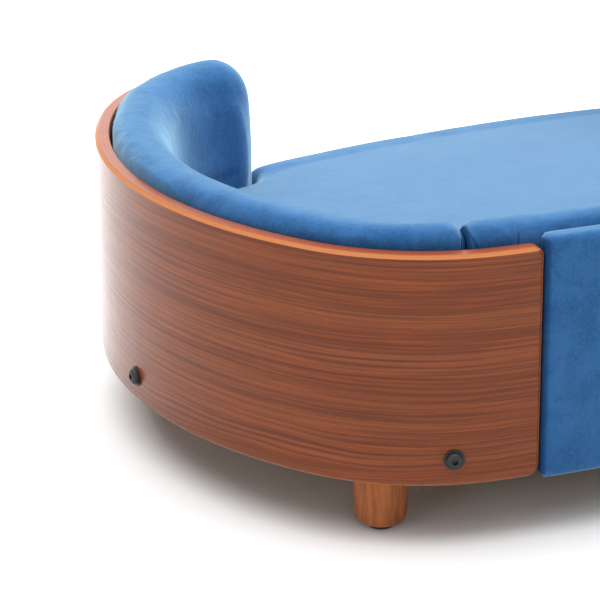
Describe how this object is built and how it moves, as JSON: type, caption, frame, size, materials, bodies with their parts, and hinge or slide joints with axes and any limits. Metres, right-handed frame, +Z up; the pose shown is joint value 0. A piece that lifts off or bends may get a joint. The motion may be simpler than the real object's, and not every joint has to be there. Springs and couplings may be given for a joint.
{
  "type": "pet bed",
  "caption": "Oval raised dog bed: bent-plywood ends, a padded back panel, an open front, a cushioned wall of lift-out bolsters, a lift-out mattress and turned wooden legs.",
  "frame": {"origin": "on the floor, under the middle of the bed", "axes": "+X along the bed to its right-hand end as seen from the front, +Y to the back panel, +Z up; the open front faces -Y"},
  "size_m": [0.932, 0.636, 0.27],
  "materials": {
    "walnut_ply": "walnut veneer over bent plywood, satin lacquer, stained edges",
    "raw_ply": "unfinished plywood",
    "beech": "plain hardwood",
    "stained_leg": "turned hardwood, warm stain, satin lacquer",
    "black_steel": "black coated steel",
    "zinc_steel": "zinc-plated steel",
    "black_plastic": "matt",
    "blue_velvet": "short-pile velvet",
    "black_tape": "woven black",
    "foam": "soft upholstery foam"
  },
  "bodies": {
    "frame": {"shell_right": "walnut_ply", "shell_left": "walnut_ply", "shell_bolts": "black_steel", "shell_washers": "black_steel", "bolt_inserts": "zinc_steel", "back_panel_board": "raw_ply", "back_panel_cover": "blue_velvet", "front_apron_board": "raw_ply", "front_apron_cover": "blue_velvet", "panel_dowels": "beech", "join_plates": "zinc_steel", "join_plate_screws": "zinc_steel", "base_ring_right": "raw_ply", "base_ring_left": "raw_ply", "base_rail_back": "raw_ply", "base_rail_front": "raw_ply", "cross_rail_right": "raw_ply", "cross_rail_left": "raw_ply", "centre_rail": "raw_ply", "deck_board": "raw_ply", "deck_screws": "zinc_steel", "leg_back_right": "stained_leg", "leg_back_left": "stained_leg", "leg_front_left": "stained_leg", "leg_front_right": "stained_leg", "leg_plates": "zinc_steel", "leg_plate_screws": "zinc_steel", "leg_studs": "zinc_steel", "leg_glides": "black_plastic", "hook_strips": "black_tape"},
    "bolster_right": {"bolster_right": "blue_velvet", "bolster_board_right": "raw_ply", "loop_strips_right": "black_tape"},
    "bolster_left": {"bolster_left": "blue_velvet", "bolster_board_left": "raw_ply", "loop_strips_left": "black_tape"},
    "bolster_back": {"bolster_back": "blue_velvet", "bolster_board_back": "raw_ply", "loop_strips_back": "black_tape"},
    "mattress": {"mattress_cover": "blue_velvet", "mattress_base_fabric": "black_tape", "mattress_core": "foam"}
  },
  "joints": [
    {"name": "mattress_lift", "type": "slide", "parent": "frame", "child": "mattress", "axis": [0, 0, 1], "range_m": [0, 0.18]},
    {"name": "bolster_right_lift", "type": "slide", "parent": "frame", "child": "bolster_right", "axis": [0, 0, 1], "range_m": [0, 0.18]},
    {"name": "bolster_left_lift", "type": "slide", "parent": "frame", "child": "bolster_left", "axis": [0, 0, 1], "range_m": [0, 0.18]},
    {"name": "bolster_back_lift", "type": "slide", "parent": "frame", "child": "bolster_back", "axis": [0, 0, 1], "range_m": [0, 0.18]}
  ]
}
